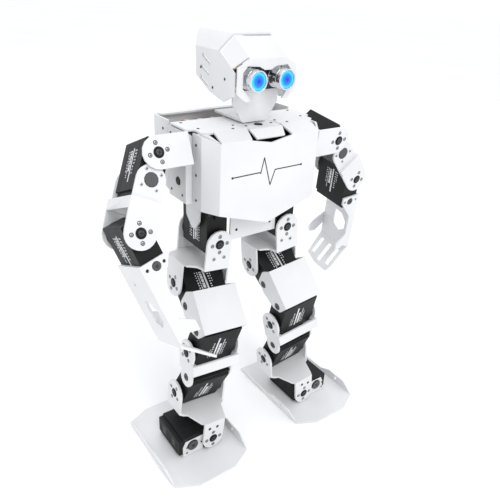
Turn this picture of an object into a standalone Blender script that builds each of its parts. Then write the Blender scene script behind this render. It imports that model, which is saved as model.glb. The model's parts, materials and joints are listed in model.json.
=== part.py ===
"""Humanoid robot kit: white folded sheet brackets on black bus servos, 17 joints.

Lengths below are millimetres; every mesh is written in metres. The robot faces -Y, its own left
side is +X and +Z is up. Each leg is laid out in its own plane and then leant outward at the hip.
"""
import math

import bmesh
import bpy
from mathutils import Matrix, Vector

MM = 0.001
KIT = "humanoid_robot_kit"

# Where the middle of the footprint lies before the whole kit is centred on the origin.
CENTRE_X, CENTRE_Y = 9.285, -19.6

# Sheet and servo sizes shared by every limb.
SHEET = 2.0            # bracket sheet
THIN = 1.6             # body shells, collar, foot soles
TRAY = 1.0             # foot trays
GAP = 0.3              # running clearance
CASE_LONG = 40.0       # servo case, long side
CASE_WIDE = 20.0       # servo case, narrow side
CASE_DEEP = 40.0       # servo case along its shaft
AXIS_IN = 10.0         # shaft to the near end of the case
PLUG = 4.0             # cable block beyond the far end
PLUG_WIDE = 16.0
HORN = 3.0             # room for the horn between case and bracket
SHAFT_R = 3.5
BOSS_R = 5.4
BOSS_AT = 20.4         # shaft to fixing boss
FLANGE_R = 12.5
HALF = CASE_DEEP / 2
IN = HALF + HORN                 # inner face of a horn flange
OUT = IN + SHEET                 # outer face of a horn flange
FIX_IN = HALF + GAP              # inner face of a fixed flange
FIX_OUT = FIX_IN + SHEET
WELD = 1e-4            # points this close are one
SEAM = 1e-3            # points this close to a fold lie on it

# Legs: hip roll shaft, then points of the leg plane (y, z) measured before leaning outward.
HIP_X, HIP_Y, HIP_Z = 37.0, 0.7, 202.7
LEAN = math.radians(6.0)
HIP_PITCH = (4.9, 156.9)
KNEE = (-27.5, 102.2)
SHIN_FIX = (-27.3, 74.6)
ANKLE = (-14.0, 48.3)
HIP_TILT = 52.0
KNEE_TILT = -17.5
ANKLE_TILT = -26.7
HIP_WEB_Z = 179.8
ANKLE_WEB_Z = 31.5
ROLL_Y = -26.0
ROLL_Z = 13.2

# Feet.
FOOT_X = 70.2
FOOT_HALF = 39.6
TOE_Y, HEEL_Y = -81.2, 29.5
LIP_LOW, LIP_HIGH = 4.0, 9.0

# Arms: shoulder pitch axis and the pose of each arm in degrees (swing forward, out, elbow in).
SHOULDER_Y, SHOULDER_Z = 0.8, 280.2
SHOULDER_X = 40.5
ROLL_X = 90.2
UPPER = 39.9
ARM_POSE = {-1: (23.0, 26.0, 42.0), 1: (-8.0, 40.0, 36.0)}

# Torso and head.
CHEST_Y, CHEST_HALF, CHEST_TOP, CHEST_TIP = -40.0, 48.0, 295.0, 221.5
SIDE_X, SIDE_LOW, BULKHEAD_Y = 61.6, 240.0, 15.7
BACK_Y, BACK_LOW, BACK_TOP = 40.0, 250.0, 302.0
NECK_Y, NECK_MID_Z = 4.0, 278.5
EYE_X, EYE_Z, EYE_R = 13.5, 337.0, 8.0
HEAD_TOP, HEAD_HALF, CROWN_HALF = 368.0, 28.0, 17.5
RELIEF = 1.2                      # gap in the sheet where two folds meet

WHITE = (0.86, 0.87, 0.88)
BLACK = (0.02, 0.02, 0.022)


# ---------------------------------------------------------------- scene set-up
def clear_scene():
    for obj in list(bpy.data.objects):
        bpy.data.objects.remove(obj, do_unlink=True)


def collection(name):
    col = bpy.data.collections.new(name)
    bpy.context.scene.collection.children.link(col)
    return col


def material(name, colour, metallic, rough, glow=None):
    mat = bpy.data.materials.new(name)
    mat.use_nodes = True
    bsdf = mat.node_tree.nodes["Principled BSDF"]
    bsdf.inputs["Base Color"].default_value = (*colour, 1.0)
    bsdf.inputs["Metallic"].default_value = metallic
    bsdf.inputs["Roughness"].default_value = rough
    if glow:
        bsdf.inputs["Emission Color"].default_value = (*glow, 1.0)
        bsdf.inputs["Emission Strength"].default_value = 2.0
    return mat


# ---------------------------------------------------------------- flat shapes
def circle(c, r, n=12, turn=0.0):
    return [(c[0] + r * math.cos(turn + 2 * math.pi * i / n),
             c[1] + r * math.sin(turn + 2 * math.pi * i / n)) for i in range(n)]


def arc(c, r, a0, a1, n=8):
    return [(c[0] + r * math.cos(math.radians(a0 + (a1 - a0) * i / n)),
             c[1] + r * math.sin(math.radians(a0 + (a1 - a0) * i / n))) for i in range(n + 1)]


def hull(points):
    pts = sorted(set((round(x, 6), round(y, 6)) for x, y in points))
    def half(seq):
        out = []
        for p in seq:
            while len(out) > 1 and ((out[-1][0] - out[-2][0]) * (p[1] - out[-2][1])
                                    - (out[-1][1] - out[-2][1]) * (p[0] - out[-2][0])) <= 1e-9:
                out.pop()
            out.append(p)
        return out[:-1]
    return half(pts) + half(pts[::-1])


# ---------------------------------------------------------------- solids
def drawn(curve):
    """The closed mesh that a filled curve makes, its caps joined to its sides."""
    obj = bpy.data.objects.new("outline", curve)
    bpy.context.scene.collection.objects.link(obj)
    graph = bpy.context.evaluated_depsgraph_get()
    mesh = bpy.data.meshes.new_from_object(obj.evaluated_get(graph))
    bpy.data.objects.remove(obj)
    bm = bmesh.new()
    bm.from_mesh(mesh)
    bmesh.ops.remove_doubles(bm, verts=bm.verts, dist=WELD)
    bmesh.ops.recalc_face_normals(bm, faces=bm.faces)
    return bm


def slab(outer, holes, start, end):
    """An outline with holes, solid from start to end along the third axis."""
    curve = bpy.data.curves.new("outline", "CURVE")
    curve.dimensions = "2D"
    curve.fill_mode = "BOTH"
    curve.extrude = (end - start) / 2
    for loop in [outer] + holes:
        spline = curve.splines.new("POLY")
        spline.points.add(len(loop) - 1)
        for point, (u, v) in zip(spline.points, loop):
            point.co = (u, v, 0.0, 1.0)
        spline.use_cyclic_u = True
    bm = drawn(curve)
    bmesh.ops.translate(bm, verts=bm.verts, vec=(0.0, 0.0, (start + end) / 2))
    return bm


def mesh_of(bm, name):
    mesh = bpy.data.meshes.new(name)
    bm.to_mesh(mesh)
    bm.free()
    return mesh


def stack(slabs):
    """Slabs (start, end, outer, holes) along one axis, joined into one solid."""
    made = []
    for start, end, outer, holes in slabs:
        obj = bpy.data.objects.new("slab", mesh_of(slab(outer, holes, start, end), "slab"))
        bpy.context.scene.collection.objects.link(obj)
        made.append(obj)
    for other in made[1:]:
        join = made[0].modifiers.new("join", "BOOLEAN")
        join.operation = "UNION"
        join.solver = "EXACT"
        join.object = other
    graph = bpy.context.evaluated_depsgraph_get()
    mesh = bpy.data.meshes.new_from_object(made[0].evaluated_get(graph))
    for obj in made:
        bpy.data.objects.remove(obj)
    bm = bmesh.new()
    bm.from_mesh(mesh)
    return bm


def sheet(outer, holes, folds, thick):
    """A flat pattern cut from sheet, scored along each fold and bent, leaves first.

    A fold is (point, direction, angle, test): what lies left of the direction turns up toward
    the front of the sheet; test(u, v) limits the fold to one branch of the pattern.
    """
    bm = slab(outer, holes, -thick / 2, thick / 2)
    for p, e, _, _ in folds:
        bmesh.ops.bisect_plane(bm, geom=bm.verts[:] + bm.edges[:] + bm.faces[:], dist=WELD,
                               plane_co=(p[0], p[1], 0.0), plane_no=(-e[1], e[0], 0.0))
    flat = [(v, v.co.copy()) for v in bm.verts]
    for p, e, angle, test in folds:
        pivot, across = Vector((p[0], p[1], 0.0)), Vector((-e[1], e[0], 0.0))
        turn = Matrix.Rotation(math.radians(angle), 3, Vector((e[0], e[1], 0.0)))
        branch = [(v, at, (at - pivot).dot(across)) for v, at in flat if test(at.x, at.y)]
        bmesh.ops.rotate(bm, cent=pivot, matrix=turn, verts=[v for v, _, off in branch if off > SEAM])
        for v, at, off in branch:
            if abs(off) <= SEAM:
                v.co -= across * (at.z * math.tan(math.radians(angle) / 2))
    return bm


def frame(origin, u, v, w):
    m = Matrix((u, v, w)).transposed().to_4x4()
    m.translation = Vector(origin)
    return m


def add(col, name, shape, place, pivot, mat):
    """One closed body, flat faces merged, its origin on the axis it turns about."""
    pivot = Vector(pivot) - Vector((CENTRE_X, CENTRE_Y, 0))
    bmesh.ops.dissolve_limit(shape, angle_limit=0.001, verts=shape.verts, edges=shape.edges)
    bmesh.ops.triangulate(shape, faces=shape.faces, ngon_method="EAR_CLIP")
    to_pivot = Matrix.Translation(-pivot - Vector((CENTRE_X, CENTRE_Y, 0)))
    shape.transform(Matrix.Scale(MM, 4) @ to_pivot @ place)
    bmesh.ops.remove_doubles(shape, verts=shape.verts, dist=WELD * MM)
    bmesh.ops.recalc_face_normals(shape, faces=shape.faces)
    mesh = mesh_of(shape, name)
    mesh.materials.append(mat)
    mesh.shade_smooth()
    mesh.set_sharp_from_angle(angle=math.radians(30))
    obj = bpy.data.objects.new(name, mesh)
    obj.location = pivot * MM
    col.objects.link(obj)
    return obj


# ---------------------------------------------------------------- servo and flange shapes
def direction(deg):
    """Downward direction of a leg plane leaning forward by deg."""
    a = math.radians(deg)
    return (-math.sin(a), -math.cos(a))


def along(p, d, t, side=0.0):
    return (p[0] + d[0] * t - d[1] * side, p[1] + d[1] * t + d[0] * side)


def case_outline(shaft, tail):
    a, b, w, c = -AXIS_IN, CASE_LONG - AXIS_IN, CASE_WIDE / 2, 1.0
    pw = PLUG_WIDE / 2
    marks = [(a, -w + c), (a + c, -w), (b - 0.4, -w), (b, -pw), (b + PLUG, -pw), (b + PLUG, pw), (b, pw),
             (b - 0.4, w), (a + c, w), (a, w - c)]
    return [along(shaft, tail, t, s) for t, s in marks]


def servo(shaft, tail, boss_at=BOSS_AT, boss_r=BOSS_R):
    """Case with its cable block, the shaft pins and the fixing bosses right through it."""
    pin, boss = circle(shaft, SHAFT_R), circle(along(shaft, tail, boss_at), boss_r)
    tip, low = OUT + 0.6, FIX_OUT + 0.1
    return stack([(-HALF, HALF, case_outline(shaft, tail), []), (-tip, tip, pin, []), (-low, low, boss, [])])


def ring(c, r=SHAFT_R):
    return circle(c, r + GAP)


# ---------------------------------------------------------------- legs
def leg_frame(s):
    out = Vector((s * math.cos(LEAN), 0, math.sin(LEAN)))
    up = Vector((-s * math.sin(LEAN), 0, math.cos(LEAN)))
    root = Vector((s * HIP_X, 0, HIP_Z)) - up * HIP_Z
    return out, up, root


def leg_point(s, o, y, z):
    out, up, root = leg_frame(s)
    return root + out * o + up * z + Vector((0, y, 0))


def leg_stack(s):
    out, up, root = leg_frame(s)
    return frame(root, (0, 1, 0), up, out)


def cross_bracket(s, web_z, roll, pitch, roll_up, q=FLANGE_R):
    """Web with two flanges round a Y shaft and two round an X shaft, on opposite sides.

    roll is (y, z) of the middle of the Y shaft servo, pitch is (y, z) of the X shaft, and
    q is the radius of the two flanges round the Y shaft.
    """
    h = OUT - SHEET / 2
    y0, y1 = roll[0] - h, roll[0] + h
    r = FLANGE_R
    rise_a, rise_b = abs(roll[1] - web_z), abs(pitch[1] - web_z)
    p0, p1 = pitch[0] - r, min(pitch[0] + r, y1 - 1.2)
    notch = 5.0
    front = [(q, y0)] + [(x, y0 - rise_a + y) for x, y in arc((0, 0), q, 0, -180)] + [(-q, y0)]
    back = [(-q, y1)] + [(x, y1 + rise_a + y) for x, y in arc((0, 0), q, 180, 0)] + [(q, y1)]
    right = [(h, p1)] + [(h + rise_b + x, pitch[0] + y) for x, y in arc((0, 0), r, 90, -90)] + [(h, p0)]
    left = [(-h, p0)] + [(-h - rise_b + x, pitch[0] + y) for x, y in arc((0, 0), r, 270, 90)]
    left += [(-h, p1)]
    bite_r = [(h - 1.5, p0 - notch * 0.6), (h - 5.5, p0 - notch), (r + 2.2, y0 + notch * 1.6),
              (r + 0.4, y0 + notch * 0.6)]
    bite_l = [(-x, y) for x, y in bite_r[::-1]]
    room = y1 - p1
    if room > 3:
        rear_l = [(-h + 1.5, p1 + room * 0.3), (-r - 3.0, y1 - room * 0.4)]
    else:
        rear_l = []
    rear_r = [(-x, y) for x, y in rear_l[::-1]]
    outer = front + bite_l + left + rear_l + back + rear_r + right + bite_r
    if bite_r[0][1] > p0 or bite_r[2][1] > p0 - 1:
        outer = front + left + rear_l + back + rear_r + right
    holes = [ring((0, y0 - rise_a)), ring((0, y1 + rise_a)),
             ring((h + rise_b, pitch[0])), ring((-h - rise_b, pitch[0]))]
    a = 90.0 if roll_up else -90.0
    folds = [((0, y0), (-1, 0), a, lambda u, v: v < y0 + 0.01 and abs(u) < r + 1.0),
             ((0, y1), (1, 0), a, lambda u, v: v > y1 - 0.01 and abs(u) < r + 1.0),
             ((h, pitch[0]), (0, -1), -a, lambda u, v: u > h - 0.01),
             ((-h, pitch[0]), (0, 1), -a, lambda u, v: u < -h + 0.01)]
    out, up, root = leg_frame(s)
    return sheet(outer, holes, folds, SHEET), frame(root + up * web_z, out, (0, 1, 0), up)


def thigh_cover():
    """Front plate over the thigh with two side cheeks, drawn flat."""
    top, low = Vector((-24.0, 162.0)), Vector((-49.5, 132.5))
    t = (low - top).normalized()
    back = Vector((-t.y, t.x))
    if back.x < 0:
        back = -back
    length = (low - top).length
    half = FIX_IN + SHEET / 2

    def flat(p):
        d = Vector(p) - top
        return d.dot(t), d.dot(back) - SHEET / 2
    hip = along(HIP_PITCH, direction(HIP_TILT), 24.0)
    knee = along(KNEE, direction(KNEE_TILT), -27.0)
    cheek = [flat(p) for p in ((-13.0, 156.0), (-6.5, 143.0), (-14.5, 132.5), (-30.0, 123.5),
                               (-40.0, 123.5))]
    cheek = [(0.0, 0.0)] + [(a, b) for a, b in cheek] + [(length, 0.0)]
    outer = [(half + b, a) for a, b in cheek] + [(-half - b, a) for a, b in cheek[::-1]]
    holes = []
    for q in (flat(hip), flat(knee)):
        holes += [circle((half + q[1], q[0]), SHAFT_R + GAP), circle((-half - q[1], q[0]), SHAFT_R + GAP)]
    folds = [((half, 0.0), (0, -1), -90.0, lambda u, v: u > half - 0.01),
             ((-half, 0.0), (0, 1), -90.0, lambda u, v: u < -half + 0.01)]
    return sheet(outer, holes, folds, SHEET), top, t, back


def shin_bracket():
    """Two side plates joined by a narrow bar in front of the knee."""
    kx, kz = KNEE
    fx, fz = SHIN_FIX
    bar = [(-43.6, 86.0), (-41.6, 86.0), (-39.6, 95.0), (-41.6, 95.0)]
    ear = hull([(-43.6, 86.0), (-41.6, 95.0), (kx + 8.0, 90.5), (kx + 8.0, 84.0), (kx - 6, 82.0)])
    upper = hull(circle(KNEE, FLANGE_R, 24) + [(kx + 8.0, 84.0), (kx - 9.0, 84.0)])
    lower = hull(circle(SHIN_FIX, 9.5, 20) + [(kx + 8.0, 91.0), (kx - 9.0, 91.0)])
    link = hull([(kx + 8.0, 84.0), (kx + 8.0, 91.0), (kx - 9.0, 91.0), (kx - 9.0, 84.0),
                 (-43.6, 86.0), (-41.6, 95.0), (-39.6, 95.0)])
    slabs = [(-OUT, OUT, bar, [])]
    for s in (-1, 1):
        for near, far, outer, holes in ((FIX_IN, OUT, link, []), (FIX_IN, FIX_OUT, lower, [ring(SHIN_FIX)]),
                                        (IN, OUT, upper, [ring(KNEE)]), (IN, OUT, ear, [])):
            slabs.append((min(s * near, s * far), max(s * near, s * far), outer, holes))
    return stack(slabs)


def foot_sole():
    """Sole with cut corners and two side lips folded up."""
    f, t, b = FOOT_HALF - THIN / 2, TOE_Y, HEEL_Y
    lip = [(21.0, 0.0), (19.0, LIP_LOW), (-22.0, LIP_LOW), (-34.0, LIP_HIGH), (-57.0, LIP_HIGH),
           (-66.0, LIP_LOW), (-71.0, 0.0)]
    right = [(f + h, y) for y, h in lip]
    left = [(-f - h, y) for y, h in lip[::-1]]
    outer = [(18.8, t)] + [(f, -71.1)] + right[::-1][1:-1] + [(f, 21.0), (18.8, b)]
    outer += [(-f, b), (-f, 21.0)] + left[::-1][1:-1] + [(-f, -71.1), (-18.8, t)]
    holes = [circle((f + 5.2, -46.0), 1.6, 8), circle((-f - 5.2, -46.0), 1.6, 8)]
    folds = [((f, 0), (0, -1), 82.0, lambda u, v: u > f - 0.01 and -71.0 < v < 20.99),
             ((-f, 0), (0, 1), 82.0, lambda u, v: u < -f + 0.01 and -71.0 < v < 20.99)]
    return sheet(outer, holes, folds, THIN)


def foot_tray(x0, x1):
    """Base under the foot servo with an upright in front and behind."""
    h = HALF + GAP + TRAY / 2
    up = 11.0
    hole = [circle((BOSS_AT, s * (h + ROLL_Z - 2.4)), BOSS_R + GAP) for s in (-1, 1)]
    cut = [(x0 + 4.0, -9.0), (x0 + 4.0, 9.0), (x1 - 4.0, 9.0), (x1 - 4.0, -9.0)]
    folds = [((0, -h), (-1, 0), 90.0, lambda u, v: v < -h + 0.01),
             ((0, h), (1, 0), 90.0, lambda u, v: v > h - 0.01)]
    outer = [(x0, -h - up - 6.0), (x1 - 3, -h - up - 6.0), (x1, -h - up), (x1, h + up),
             (x1 - 3, h + up + 6.0), (x0, h + up + 6.0)]
    return sheet(outer, hole + [cut], folds, TRAY)


def build_leg(col, s, white, black):
    side = "left" if s > 0 else "right"
    place = leg_stack(s)
    hip_axis = (s * HIP_X, HIP_Y, HIP_Z)
    pitch = leg_point(s, 0, *HIP_PITCH)
    knee = leg_point(s, 0, *KNEE)
    ankle = leg_point(s, 0, *ANKLE)
    reach = (HIP_Z - ROLL_Z) / math.cos(LEAN)
    roll = leg_point(s, 0, ROLL_Y, HIP_Z - reach)

    shape, at = cross_bracket(s, HIP_WEB_Z, (HIP_Y, HIP_Z), HIP_PITCH, True)
    add(col, "hip_bracket_" + side, shape, at, hip_axis, white)
    d = direction(HIP_TILT)
    add(col, "hip_pitch_servo_" + side, servo(HIP_PITCH, d, 24.0, SHAFT_R), place, pitch, black)
    d = direction(KNEE_TILT)
    add(col, "knee_servo_" + side, servo(KNEE, (-d[0], -d[1]), 27.0, SHAFT_R), place, pitch, black)
    shape, top, t, back = thigh_cover()
    out, up, root = leg_frame(s)
    def lift(v):
        return Vector((0, v[0], 0)) + up * v[1]
    at = frame(root + lift(top) + lift(back) * (SHEET / 2), out, lift(t), -lift(back))
    add(col, "thigh_cover_" + side, shape, at, pitch, white)
    add(col, "shin_bracket_" + side, shin_bracket(), place, knee, white)
    d = direction(ANKLE_TILT)
    far = math.dist(ANKLE, SHIN_FIX)
    add(col, "ankle_pitch_servo_" + side, servo(ANKLE, (-d[0], -d[1]), far, SHAFT_R), place, knee, black)
    shape, at = cross_bracket(s, ANKLE_WEB_Z, (ROLL_Y, HIP_Z - reach), ANKLE, False, 11.0)
    add(col, "ankle_bracket_" + side, shape, at, ankle, white)

    flat = frame((roll.x, ROLL_Y, ROLL_Z), (s, 0, 0), (0, 0, 1), (0, 1, 0))
    add(col, "ankle_roll_servo_" + side, servo((0, 0), (1, 0)), flat, roll, black)
    floor = frame((s * FOOT_X, 0, THIN / 2), (s, 0, 0), (0, 1, 0), (0, 0, 1))
    add(col, "foot_sole_" + side, foot_sole(), floor, roll, white)
    tray = frame((roll.x, ROLL_Y, THIN + GAP + TRAY / 2), (s, 0, 0), (0, 1, 0), (0, 0, 1))
    add(col, "foot_tray_" + side, foot_tray(9.0, 30.5), tray, roll, white)


# ---------------------------------------------------------------- arms
def arm_axes(s):
    swing, out_deg, fold = (math.radians(v) for v in ARM_POSE[s])
    down = Vector((0, -math.sin(swing), -math.cos(swing)))
    rear = Vector((0, math.cos(swing), -math.sin(swing)))
    side = Vector((s, 0, 0))
    long_u = down * math.cos(out_deg) + side * math.sin(out_deg)
    wide_u = side * math.cos(out_deg) - down * math.sin(out_deg)
    a = out_deg - fold
    long_f = down * math.cos(a) + side * math.sin(a)
    wide_f = side * math.cos(a) - down * math.sin(a)
    pivot = Vector((s * ROLL_X, SHOULDER_Y, SHOULDER_Z))
    return down, rear, side, long_u, wide_u, long_f, wide_f, pivot


def shoulder_bracket():
    """Flange on the pitch horn, folded to carry the roll horn in front."""
    h = OUT - SHEET / 2
    x0 = ROLL_X - (SHOULDER_X + OUT - SHEET / 2)
    r = FLANGE_R
    outer = arc((0, 0), r, 90, 270) + [(h, -r)] + [(h + x, y) for x, y in arc((x0, 0), r, -90, 90)]
    outer += [(h, r)]
    holes = [ring((0, 0)), ring((h + x0, 0))]
    folds = [((h, 0), (0, -1), 90.0, lambda u, v: u > h - 0.01)]
    return sheet(outer, holes, folds, SHEET)


def upper_arm_bracket():
    """Two plates from the roll servo boss to the elbow horn, with an outer side strip."""
    fix, elbow = (0.0, BOSS_AT), (0.0, BOSS_AT + UPPER)
    lo, hi = BOSS_AT + 15.0, BOSS_AT + 24.0
    r = FLANGE_R - 1.0
    strip = [(11.0, lo), (13.0, lo), (13.0, hi), (11.0, hi)]
    band = [(-r, lo), (13.0, lo), (13.0, hi), (-r, hi)]
    top = hull(circle(fix, r, 20) + [(-r, lo + 3.0), (r, lo + 3.0)])
    low = hull(circle(elbow, FLANGE_R, 24) + [(-FLANGE_R, hi - 3.0), (13.0, hi - 3.0)])
    slabs = [(-OUT, OUT, strip, [])]
    for s in (-1, 1):
        for near, far, outer, holes in ((FIX_IN, OUT, band, []), (IN, OUT, low, [ring(elbow)]),
                                        (FIX_IN, FIX_OUT, top, [circle(fix, BOSS_R + GAP)])):
            slabs.append((min(s * near, s * far), max(s * near, s * far), outer, holes))
    return stack(slabs)


def hand():
    """Outer palm plate drawn flat (rear u, down v) with a front strap, a thumb and fingers."""
    h = FIX_IN + SHEET / 2
    bend = 92.0
    strap = [(-h, 21.5), (-h - 11.3 - 9.5, 21.5), (-h - 11.3 - 9.5, 29.0), (-h - 8.0, 46.0),
             (-h - 7.5, 70.0), (-h - 19.0, 79.0), (-h - 19.0, 88.0), (-h - 8.0, 84.0), (-h, 88.0)]
    thumb = [(h, 80.0), (h + 11.3, 87.5), (h + 19.0, 86.5), (h + 21.0, 80.0), (h + 15.0, 73.5), (h, 66.0)]
    tips = [(-19.5, bend + 25.0), (-17.0, bend + 34.0), (0.0, bend + 34.0), (17.5, bend + 29.0)]
    outer = strap + [(-20.0, bend)] + tips + [(20.0, bend), (h, 84.0)] + thumb
    outer += [(h, 26.0), (h, 21.5)]
    slots = []
    for c, a, b in ((11.8, 6.0, 25.0), (-1.0, 6.5, 29.0), (-13.0, 6.0, 27.0)):
        slots.append([(c - 2.6, bend + a), (c + 2.6, bend + a), (c + 2.6, bend + b), (c - 2.6, bend + b)])
    window = [(4.5, 52.0), (-6.0, 54.0), (-12.5, 61.0), (-12.5, 70.0), (-4.0, 76.5), (4.5, 72.0),
              (5.5, 62.0)]
    small = [circle((6.0, 38.0), 1.4, 8)]
    small.append(ring((-h - 11.3, 27.0)))
    for x in (3.3, 18.3):
        small.append(circle((-h - x, 26.7), 1.5, 8))
    folds = [((0, bend), (1, 0), 42.0, lambda u, v: v > bend - 0.01),
             ((h, 0), (0, -1), 90.0, lambda u, v: u > h - 0.01 and v < 89.0),
             ((-h, 0), (0, 1), 90.0, lambda u, v: u < -h + 0.01 and v < 89.0)]
    return sheet(outer, slots + [window] + small, folds, SHEET)


def build_arm(col, s, white, black):
    side = "left" if s > 0 else "right"
    down, rear, lateral, lu, wu, lf, wf, pivot = arm_axes(s)
    hub = Vector((s * SHOULDER_X, SHOULDER_Y, SHOULDER_Z))
    at = frame(hub + lateral * (OUT - SHEET / 2), -rear, -down, lateral)
    add(col, "shoulder_bracket_" + side, shoulder_bracket(), at, hub, white)
    place = frame(pivot, wu, lu, rear)
    add(col, "shoulder_roll_servo_" + side, servo((0, 0), (0, 1)), place, pivot, black)
    add(col, "upper_arm_bracket_" + side, upper_arm_bracket(), place, pivot, white)
    elbow = pivot + lu * (BOSS_AT + UPPER)
    place = frame(elbow, wf, lf, rear)
    add(col, "elbow_servo_" + side, servo((0, 0), (0, 1), 27.0, SHAFT_R), place, elbow, black)
    at = frame(elbow + wf * (CASE_WIDE / 2 + GAP + SHEET / 2), rear, lf, -wf)
    add(col, "hand_" + side, hand(), at, elbow, white)


# ---------------------------------------------------------------- torso
def chest_shell():
    """Front of the chest, two folds each side, a sloping top edge with a notch."""
    a = Vector((CHEST_HALF, CHEST_Y))
    b = Vector((56.5, -27.5))
    c = Vector((56.5, -14.2))
    w1, w2 = (b - a).length, (c - b).length
    t1 = math.degrees(math.atan2(b.y - a.y, b.x - a.x))
    t2 = 90.0 - t1
    half, low, top = CHEST_HALF, 237.0, CHEST_TOP
    m = top - low
    tip = CHEST_TIP - low
    slope = math.hypot(12.0, 5.5)
    right = [(half, 0.0), (half + w1, 1.0), (half + w1 + w2, 3.0), (half + w1 + w2, m + 3.2),
             (half + w1, m + 3.0), (half, m)]
    left = [(-u, v) for u, v in right[::-1]]
    facet_r = [(half - 0.5, m), (half - 1.0, m + slope), (17.0, m + slope), (20.0, m - 0.8), (0.0, m - 4.5)]
    facet_l = [(-u, v) for u, v in facet_r[:-1][::-1]]
    outer = [(0.0, tip)] + right + facet_r + facet_l + left
    lean = 90.0 - math.degrees(math.atan2(5.5, 12.0))
    folds = [((half + w1, 0), (0, -1), -t2, lambda u, v: u > half + w1 - 0.01),
             ((half, 0), (0, -1), -t1, lambda u, v: u > half - 0.01),
             ((-half - w1, 0), (0, 1), -t2, lambda u, v: u < -half - w1 + 0.01),
             ((-half, 0), (0, 1), -t1, lambda u, v: u < -half + 0.01),
             ((0, m), (1, 0), -lean, lambda u, v: abs(u) < half - 0.4 and v > m - 0.01)]
    return sheet(outer, [], folds, THIN), low


def mirrored(points):
    return points + [(-u, v) for u, v in points[::-1]]


def back_frame():
    """Back wall with two side walls folded forward and a lip along the top."""
    half, deep = SIDE_X, BACK_Y - BULKHEAD_Y - THIN / 2 - GAP
    m = BACK_TOP - BACK_LOW
    right = [(half, 0.0), (half + deep, -7.0), (half + deep, m), (half - 1.5, m), (half - 4.0, m + 5.5)]
    holes = [[(-9.0, 18.0), (9.0, 18.0), (9.0, 30.0), (-9.0, 30.0)]]
    folds = [((half, 0), (0, -1), 90.0, lambda u, v: u > half - 0.01),
             ((-half, 0), (0, 1), 90.0, lambda u, v: u < -half + 0.01),
             ((0, m), (1, 0), 90.0, lambda u, v: v > m - 0.01 and abs(u) < half - 1.0)]
    return sheet(mirrored(right), holes, folds, THIN)


def side_frame():
    """Wall across the torso, two sides folded forward and stepped in to meet the chest."""
    step = Vector((7.0, 1.3))
    turn = 90.0 - math.degrees(math.atan2(step.y, step.x))
    c1 = SIDE_X + BULKHEAD_Y + 10.9
    c2 = c1 + step.length
    end = c2 + 13.8
    m = 298.2 - SIDE_LOW
    right = [(end, 0.0), (end, m - 4.0), (c2, m - 4.0), (c1, m)]
    holes = []
    for s in (1, -1):
        u = s * (SIDE_X + BULKHEAD_Y - SHOULDER_Y)
        holes += [circle((u, SHOULDER_Z - SIDE_LOW), 11.5, 16), ring((u, SHOULDER_Z - 24.0 - SIDE_LOW))]
    holes.append([(-20.0, 20.0), (20.0, 20.0), (20.0, 34.0), (-20.0, 34.0)])
    folds = []
    for s in (1, -1):
        e = (0, -1) if s > 0 else (0, 1)
        for at, angle in ((c2, -turn), (c1, turn), (SIDE_X, 90.0)):
            folds.append(((s * at, 0), e, angle, (lambda u, v, s=s, at=at: u * s > at - 0.01)))
    return sheet(mirrored(right), holes, folds, THIN)


def neck_mount():
    """Tongue over the front of the neck servo, bent down behind the notch."""
    outer = mirrored([(17.4, -14.4), (17.4, -25.4), (16.2, -26.6), (16.2, -30.7), (13.8, -39.8)])
    folds = [((0, -30.7), (-1, 0), -38.0, lambda u, v: v < -30.69)]
    return sheet(outer, [ring((0.0, NECK_Y - 24.0))], folds, THIN)


def collar_plate():
    outer = [(-50.0, -26.8), (-18.0, -26.8), (-18.0, -14.0), (18.0, -14.0), (18.0, -26.8), (50.0, -26.8),
             (55.4, -22.0), (55.4, -12.5), (61.6, -10.5), (61.6, 14.6), (-61.6, 14.6), (-61.6, -10.5),
             (-55.4, -12.5), (-55.4, -22.0)]
    return slab(outer, [circle((0.0, NECK_Y), 9.0, 20)], 298.9, 300.5)


def pelvis_bracket():
    """Plate over the hip servos with tongues folded down in front, behind and at each side."""
    y0, y1, x0 = -20.0, 22.5, 50.2
    outer = [(-24.5, y0), (-24.5, y0 - 36.0), (24.5, y0 - 36.0), (24.5, y0), (x0, y0), (x0, -14.0)]
    outer += [(x0 + 16.0, -13.0), (x0 + 25.0, -6.0), (x0 + 25.0, -1.0), (x0 + 16.0, 8.0), (x0, 9.0), (x0, y1)]
    outer += [(24.5, y1), (24.5, y1 + 20.0), (-24.5, y1 + 20.0), (-24.5, y1), (-x0, y1), (-x0, 9.0)]
    outer += [(-x0 - 16.0, 8.0), (-x0 - 25.0, -1.0), (-x0 - 25.0, -6.0), (-x0 - 16.0, -13.0), (-x0, -14.0)]
    outer += [(-x0, y0)]
    folds = [((0, y0), (-1, 0), -90.0, lambda u, v: v < y0 + 0.01 and abs(u) < 24.6),
             ((0, y1), (1, 0), -90.0, lambda u, v: v > y1 - 0.01 and abs(u) < 24.6),
             ((x0, 0), (0, -1), -90.0, lambda u, v: u > x0 - 0.01 and -14.01 < v < 9.01),
             ((-x0, 0), (0, 1), -90.0, lambda u, v: u < -x0 + 0.01 and -14.01 < v < 9.01)]
    return sheet(outer, [], folds, THIN)


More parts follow.
